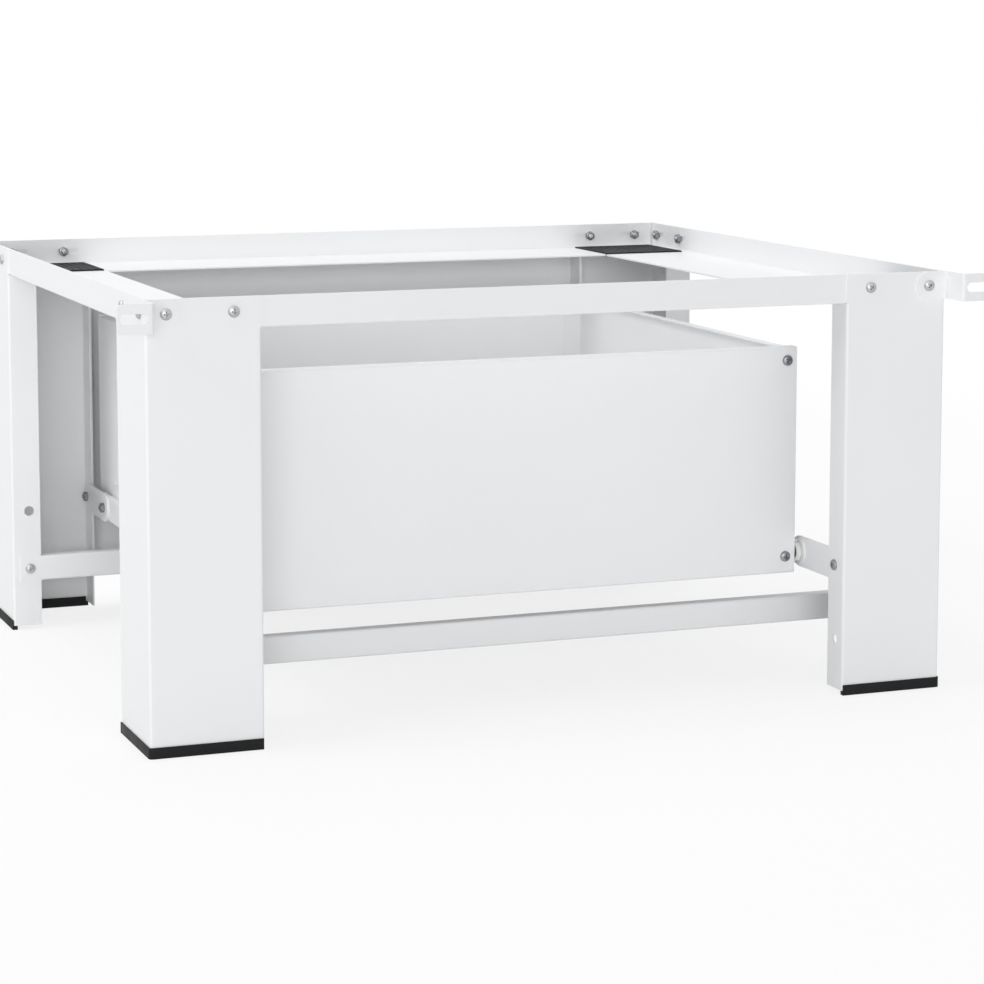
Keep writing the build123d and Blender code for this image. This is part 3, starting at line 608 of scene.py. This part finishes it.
def detail_fasteners(node, maker):
    """One mesh with every fastener of a group, and each point's place around its own axis."""
    points, faces, turned = [], [], []
    for index, solid in enumerate(separate_solids(node)):
        (own_points, own_faces), matrix = maker(Fastener(solid))
        if maker is bolt:
            matrix = matrix @ Matrix.Rotation(index * TURN_STEP, 4, "Z")
        first = len(points)
        points += [matrix @ point for point in own_points]
        turned += own_points
        faces += [tuple(first + corner for corner in face) for face in own_faces]
    work = bmesh.new()
    layer = work.verts.layers.float_vector.new("turned")
    vertices = [work.verts.new(point) for point in points]
    for vertex, place in zip(vertices, turned):
        vertex[layer] = place
    for face in faces:
        work.faces.new([vertices[corner] for corner in face])
    stand_in(node, work)


for name in sorted(frame["nodes"]):
    if SLOT_OF[name] == "zinc_steel":
        detail_fasteners(name, MAKERS[name.rsplit("_", 1)[-1]])


# Rollers

def roller_profile(radius, width):
    """Half section of a roller from its bore round to its bore, plain side at height 0."""
    arc = [math.pi / 2 * step / ROLLER_ARC_STEPS for step in range(ROLLER_ARC_STEPS + 1)]
    side = radius - ROLLER_RIM_ROUND
    top = width - ROLLER_RIM_ROUND
    floor = width - ROLLER_RECESS_DEPTH
    profile = [(ROLLER_BORE_RADIUS, 0.0)]
    for angle in arc:
        profile.append((side + ROLLER_RIM_ROUND * math.sin(angle), ROLLER_RIM_ROUND * (1 - math.cos(angle))))
    for angle in arc:
        profile.append((side + ROLLER_RIM_ROUND * math.cos(angle), top + ROLLER_RIM_ROUND * math.sin(angle)))
    profile.append((ROLLER_RECESS_RADIUS + ROLLER_RECESS_CHAMFER, width))
    profile.append((ROLLER_RECESS_RADIUS, width - ROLLER_RECESS_CHAMFER))
    profile.append((ROLLER_RECESS_RADIUS, floor))
    profile.append((ROLLER_BORE_RADIUS, floor))
    return profile


def detail_roller(node):
    """Moulded roller; its recess faces the drawer on the cabinet and the cabinet on the drawer."""
    low, high = (Vector(corner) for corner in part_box(node))
    middle = (low + high) / 2
    away = 1.0 if middle.x > 0 else -1.0
    outward = -away if node.startswith("cabinet") else away
    plain_x = low.x if outward > 0 else high.x
    angles = even_angles(ROLLER_COLUMNS)
    rings = [ring(angles, r, z) for r, z in roller_profile((high.z - low.z) / 2, high.x - low.x)]
    points, faces = skin(rings, looped=True)
    turn = Vector((outward, 0, 0)).to_track_quat("Z", "Y")
    matrix = Matrix.LocRotScale(Vector((plain_x, middle.y, middle.z)), turn, None)
    work = bmesh.new()
    vertices = [work.verts.new(matrix @ point) for point in points]
    for face in faces:
        work.faces.new([vertices[corner] for corner in face])
    stand_in(node, work)


for name in sorted(frame["nodes"]):
    if SLOT_OF[name] == "nylon":
        detail_roller(name)


# Rubber with soft edges

def soften(node, width):
    """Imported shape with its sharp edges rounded."""
    work = welded(node)
    bmesh.ops.dissolve_limit(work, angle_limit=FLAT_ANGLE, verts=work.verts, edges=work.edges)
    sharp = [edge for edge in work.edges if edge.calc_face_angle(0.0) > SHARP_ANGLE]
    bmesh.ops.bevel(work, geom=sharp, offset=width, segments=ROUND_STEPS, profile=ROUND_PROFILE,
                    affect="EDGES", clamp_overlap=True)
    stand_in(node, work)


for name in sorted(frame["nodes"]):
    if name.startswith("foot_cap"):
        soften(name, CAP_ROUND)
    elif name.startswith("anti_slip_pad"):
        soften(name, PAD_ROUND)


# Stage

def seen_rays(tree):
    """1 on what is seen straight, mirrored or through glass, 0 on light that falls on the object."""
    path = add_node(tree, "ShaderNodeLightPath").outputs
    glossy = maths(tree, "MAXIMUM", path["Is Camera Ray"], path["Is Glossy Ray"])
    return maths(tree, "MAXIMUM", glossy, path["Is Transmission Ray"])


def floor_material():
    """Pale floor that is seen as white far from the object, and keeps some of the shadow near it."""
    material, tree, shader = new_material("pale_floor")
    set_inputs(
        tree, shader,
        Base_Color=(*FLOOR_COLOUR, 1.0),
        Roughness=FLOOR_ROUGHNESS,
        Specular_IOR_Level=0.0,
    )
    distance = add_node(tree, "ShaderNodeVectorMath", {"operation": "LENGTH"})
    feed(tree, distance.inputs[0], object_place(tree))
    whitening = ranged(tree, distance.outputs["Value"], FLOOR_WHITENING, 1.0, WHITENING_START, WHITENING_END)
    share = maths(tree, "MULTIPLY", seen_rays(tree), whitening)
    white = add_node(tree, "ShaderNodeEmission", Color=(*WHITE, 1.0), Strength=1.0)
    output = next(node for node in tree.nodes if node.type == "OUTPUT_MATERIAL")
    set_inputs(tree, output, Surface=mixed(tree, share, shader.outputs["BSDF"], white.outputs["Emission"]))
    return material


def make_floor():
    """Level floor under the object."""
    half = FLOOR_SIZE / 2
    corners = [(-half, -half, 0), (half, -half, 0), (half, half, 0), (-half, half, 0)]
    mesh = bpy.data.meshes.new("floor")
    mesh.from_pydata(corners, [], [(0, 1, 2, 3)])
    floor = bpy.data.objects.new("floor", mesh)
    bpy.context.scene.collection.objects.link(floor)
    dress(floor, floor_material())


def make_sky():
    """Even sky light; what the camera sees of it is white."""
    world = bpy.data.worlds.new("studio")
    world.use_nodes = True
    bpy.context.scene.world = world
    tree = world.node_tree
    tree.nodes.clear()
    light = add_node(tree, "ShaderNodeBackground", Color=(*SKY_COLOUR, 1.0), Strength=SKY_STRENGTH)
    white = add_node(tree, "ShaderNodeBackground", Color=(*WHITE, 1.0), Strength=1.0)
    sky = mixed(tree, seen_rays(tree), light.outputs["Background"], white.outputs["Background"])
    add_node(tree, "ShaderNodeOutputWorld", Surface=sky)


def make_lamp(name, place, size, power):
    """Soft box, width by height in metres and power in watts, that looks at the object."""
    light = bpy.data.lights.new(name, "AREA")
    light.shape = "RECTANGLE"
    light.size, light.size_y = size
    light.energy = power
    lamp = bpy.data.objects.new(name, light)
    lamp.location = place
    lamp.rotation_euler = (Vector(LAMP_TARGET) - Vector(place)).to_track_quat("-Z", "Y").to_euler()
    bpy.context.scene.collection.objects.link(lamp)


def make_camera():
    """Camera with the photograph's framing."""
    camera = bpy.data.cameras.new("camera")
    camera.sensor_width = SENSOR_WIDTH
    camera.lens = FOCAL_PIXELS * SENSOR_WIDTH / IMAGE_PIXELS
    camera.shift_x = (IMAGE_PIXELS / 2 - AXIS_PIXEL[0]) / IMAGE_PIXELS
    camera.shift_y = (AXIS_PIXEL[1] - IMAGE_PIXELS / 2) / IMAGE_PIXELS
    holder = bpy.data.objects.new("camera", camera)
    holder.location = CAMERA_PLACE
    holder.rotation_euler = Euler((math.radians(90 - CAMERA_TILT), 0, -math.radians(CAMERA_TURN)))
    bpy.context.scene.collection.objects.link(holder)
    bpy.context.scene.camera = holder


make_floor()
make_sky()
make_lamp("left_light", place=(-2.3, -0.2, 2.3), size=(1.5, 1.5), power=29.0)
make_lamp("front_light", place=(-3.0, -9.4, 1.75), size=(6.0, 2.0), power=285.0)
make_lamp("top_light", place=(0.2, 0.8, 3.0), size=(2.5, 2.5), power=35.0)
make_camera()

bpy.context.scene.view_settings.view_transform = "Standard"
